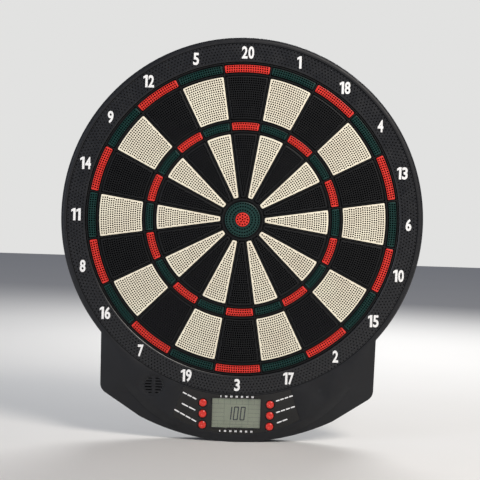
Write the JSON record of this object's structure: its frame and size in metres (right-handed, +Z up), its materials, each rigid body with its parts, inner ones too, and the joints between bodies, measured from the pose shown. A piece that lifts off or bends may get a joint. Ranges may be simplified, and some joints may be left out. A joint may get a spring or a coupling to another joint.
{
  "type": "electronic dartboard",
  "caption": "Round soft-tip electronic dartboard with sprung scoring segments in a web, a dimpled catch ring and a console with a display and push buttons.",
  "frame": {"origin": "on the wall plane, at the bull's axis", "axes": "+Z up, +Y into the wall, the player stands on the -Y side, +X to the player's right"},
  "size_m": [0.4628, 0.0316, 0.5174],
  "materials": {
    "segment_black": "moulded, satin",
    "segment_cream": "moulded, satin",
    "segment_red": "moulded, satin",
    "segment_green": "moulded, satin",
    "web_black": "moulded, satin",
    "housing_grey": "moulded, fine texture",
    "catch_ring_grey": "moulded, dimpled",
    "number_white": "printed pads",
    "panel_black": "polished",
    "window_clear": "clear",
    "lcd_glass": "polarised display glass",
    "frame_white": "moulded",
    "elastomer_pink": "striped elastomer",
    "button_red": "moulded, glossy",
    "silicone_grey": "moulded silicone",
    "board_green": "solder mask",
    "epoxy_black": "cast epoxy",
    "component_dark": "mixed electronic components",
    "connector_white": "moulded nylon",
    "steel_screw": "zinc plated",
    "speaker_steel": "stamped steel",
    "cone_paper": "pressed paper",
    "wire_red": "PVC insulation",
    "pad_rubber": "sheet rubber",
    "sheet_film": "polyester film",
    "hardboard": "pressed hardboard",
    "cover_black": "moulded, fine texture",
    "battery_green": "plain sleeve"
  },
  "bodies": {
    "root": {"spider": "web_black", "catch_ring": "catch_ring_grey", "number_marks": "number_white", "front_housing": "housing_grey", "control_panel": "panel_black", "lcd_window": "window_clear", "lcd_glass": "lcd_glass", "lcd_frame": "frame_white", "lcd_connectors": "elastomer_pink", "button_mats": "silicone_grey", "circuit_board": "board_green", "controller_chip": "epoxy_black", "board_components": "component_dark", "ribbon_connectors": "connector_white", "board_screws": "steel_screw", "speaker_frame": "speaker_steel", "speaker_cone": "cone_paper", "speaker_magnet": "speaker_steel", "speaker_leads": "wire_red", "return_pad": "pad_rubber", "sensor_front_sheet": "sheet_film", "sensor_spacer": "sheet_film", "sensor_back_sheet": "sheet_film", "backing_board": "hardboard", "web_screws": "steel_screw", "rear_cover": "cover_black", "hanger_plates": "steel_screw", "cover_screws": "steel_screw", "batteries": "battery_green", "battery_contacts": "steel_screw", "battery_leads": "wire_red"},
    "segments_20": {"segments_20": "segment_black"},
    "segments_1": {"segments_1": "segment_cream"},
    "segments_18": {"segments_18": "segment_black"},
    "segments_4": {"segments_4": "segment_cream"},
    "segments_13": {"segments_13": "segment_black"},
    "segments_6": {"segments_6": "segment_cream"},
    "segments_10": {"segments_10": "segment_black"},
    "segments_15": {"segments_15": "segment_cream"},
    "segments_2": {"segments_2": "segment_black"},
    "segments_17": {"segments_17": "segment_cream"},
    "segments_3": {"segments_3": "segment_black"},
    "segments_19": {"segments_19": "segment_cream"},
    "segments_7": {"segments_7": "segment_black"},
    "segments_16": {"segments_16": "segment_cream"},
    "segments_8": {"segments_8": "segment_black"},
    "segments_11": {"segments_11": "segment_cream"},
    "segments_14": {"segments_14": "segment_black"},
    "segments_9": {"segments_9": "segment_cream"},
    "segments_12": {"segments_12": "segment_black"},
    "segments_5": {"segments_5": "segment_cream"},
    "bull_outer": {"bull_outer": "segment_green"},
    "bull_inner": {"bull_inner": "segment_red"},
    "button_left_top": {"button_left_top": "button_red"},
    "button_left_middle": {"button_left_middle": "button_red"},
    "button_left_bottom": {"button_left_bottom": "button_red"},
    "button_right_top": {"button_right_top": "button_red"},
    "button_right_middle": {"button_right_middle": "button_red"},
    "button_right_bottom": {"button_right_bottom": "button_red"},
    "battery_door": {"battery_door": "cover_black"}
  },
  "joints": [
    {"name": "segments_20_press", "type": "slide", "parent": "root", "child": "segments_20", "axis": [0, 1, 0], "range_m": [0, 0.001], "stiffness_N_per_m": 800, "springref_m": -0.0005},
    {"name": "segments_1_press", "type": "slide", "parent": "root", "child": "segments_1", "axis": [0, 1, 0], "range_m": [0, 0.001], "stiffness_N_per_m": 800, "springref_m": -0.0005},
    {"name": "segments_18_press", "type": "slide", "parent": "root", "child": "segments_18", "axis": [0, 1, 0], "range_m": [0, 0.001], "stiffness_N_per_m": 800, "springref_m": -0.0005},
    {"name": "segments_4_press", "type": "slide", "parent": "root", "child": "segments_4", "axis": [0, 1, 0], "range_m": [0, 0.001], "stiffness_N_per_m": 800, "springref_m": -0.0005},
    {"name": "segments_13_press", "type": "slide", "parent": "root", "child": "segments_13", "axis": [0, 1, 0], "range_m": [0, 0.001], "stiffness_N_per_m": 800, "springref_m": -0.0005},
    {"name": "segments_6_press", "type": "slide", "parent": "root", "child": "segments_6", "axis": [0, 1, 0], "range_m": [0, 0.001], "stiffness_N_per_m": 800, "springref_m": -0.0005},
    {"name": "segments_10_press", "type": "slide", "parent": "root", "child": "segments_10", "axis": [0, 1, 0], "range_m": [0, 0.001], "stiffness_N_per_m": 800, "springref_m": -0.0005},
    {"name": "segments_15_press", "type": "slide", "parent": "root", "child": "segments_15", "axis": [0, 1, 0], "range_m": [0, 0.001], "stiffness_N_per_m": 800, "springref_m": -0.0005},
    {"name": "segments_2_press", "type": "slide", "parent": "root", "child": "segments_2", "axis": [0, 1, 0], "range_m": [0, 0.001], "stiffness_N_per_m": 800, "springref_m": -0.0005},
    {"name": "segments_17_press", "type": "slide", "parent": "root", "child": "segments_17", "axis": [0, 1, 0], "range_m": [0, 0.001], "stiffness_N_per_m": 800, "springref_m": -0.0005},
    {"name": "segments_3_press", "type": "slide", "parent": "root", "child": "segments_3", "axis": [0, 1, 0], "range_m": [0, 0.001], "stiffness_N_per_m": 800, "springref_m": -0.0005},
    {"name": "segments_19_press", "type": "slide", "parent": "root", "child": "segments_19", "axis": [0, 1, 0], "range_m": [0, 0.001], "stiffness_N_per_m": 800, "springref_m": -0.0005},
    {"name": "segments_7_press", "type": "slide", "parent": "root", "child": "segments_7", "axis": [0, 1, 0], "range_m": [0, 0.001], "stiffness_N_per_m": 800, "springref_m": -0.0005},
    {"name": "segments_16_press", "type": "slide", "parent": "root", "child": "segments_16", "axis": [0, 1, 0], "range_m": [0, 0.001], "stiffness_N_per_m": 800, "springref_m": -0.0005},
    {"name": "segments_8_press", "type": "slide", "parent": "root", "child": "segments_8", "axis": [0, 1, 0], "range_m": [0, 0.001], "stiffness_N_per_m": 800, "springref_m": -0.0005},
    {"name": "segments_11_press", "type": "slide", "parent": "root", "child": "segments_11", "axis": [0, 1, 0], "range_m": [0, 0.001], "stiffness_N_per_m": 800, "springref_m": -0.0005},
    {"name": "segments_14_press", "type": "slide", "parent": "root", "child": "segments_14", "axis": [0, 1, 0], "range_m": [0, 0.001], "stiffness_N_per_m": 800, "springref_m": -0.0005},
    {"name": "segments_9_press", "type": "slide", "parent": "root", "child": "segments_9", "axis": [0, 1, 0], "range_m": [0, 0.001], "stiffness_N_per_m": 800, "springref_m": -0.0005},
    {"name": "segments_12_press", "type": "slide", "parent": "root", "child": "segments_12", "axis": [0, 1, 0], "range_m": [0, 0.001], "stiffness_N_per_m": 800, "springref_m": -0.0005},
    {"name": "segments_5_press", "type": "slide", "parent": "root", "child": "segments_5", "axis": [0, 1, 0], "range_m": [0, 0.001], "stiffness_N_per_m": 800, "springref_m": -0.0005},
    {"name": "bull_outer_press", "type": "slide", "parent": "root", "child": "bull_outer", "axis": [0, 1, 0], "range_m": [0, 0.001], "stiffness_N_per_m": 500, "springref_m": -0.0005},
    {"name": "bull_inner_press", "type": "slide", "parent": "root", "child": "bull_inner", "axis": [0, 1, 0], "range_m": [0, 0.001], "stiffness_N_per_m": 200, "springref_m": -0.0005},
    {"name": "button_left_top_press", "type": "slide", "parent": "root", "child": "button_left_top", "axis": [0, 1, 0], "range_m": [0, 0.0012], "stiffness_N_per_m": 100, "springref_m": -0.001},
    {"name": "button_left_middle_press", "type": "slide", "parent": "root", "child": "button_left_middle", "axis": [0, 1, 0], "range_m": [0, 0.0012], "stiffness_N_per_m": 100, "springref_m": -0.001},
    {"name": "button_left_bottom_press", "type": "slide", "parent": "root", "child": "button_left_bottom", "axis": [0, 1, 0], "range_m": [0, 0.0012], "stiffness_N_per_m": 100, "springref_m": -0.001},
    {"name": "button_right_top_press", "type": "slide", "parent": "root", "child": "button_right_top", "axis": [0, 1, 0], "range_m": [0, 0.0012], "stiffness_N_per_m": 100, "springref_m": -0.001},
    {"name": "button_right_middle_press", "type": "slide", "parent": "root", "child": "button_right_middle", "axis": [0, 1, 0], "range_m": [0, 0.0012], "stiffness_N_per_m": 100, "springref_m": -0.001},
    {"name": "button_right_bottom_press", "type": "slide", "parent": "root", "child": "button_right_bottom", "axis": [0, 1, 0], "range_m": [0, 0.0012], "stiffness_N_per_m": 100, "springref_m": -0.001},
    {"name": "battery_door_lift", "type": "slide", "parent": "root", "child": "battery_door", "axis": [0, 1, 0], "range_m": [0, 0.03]}
  ]
}
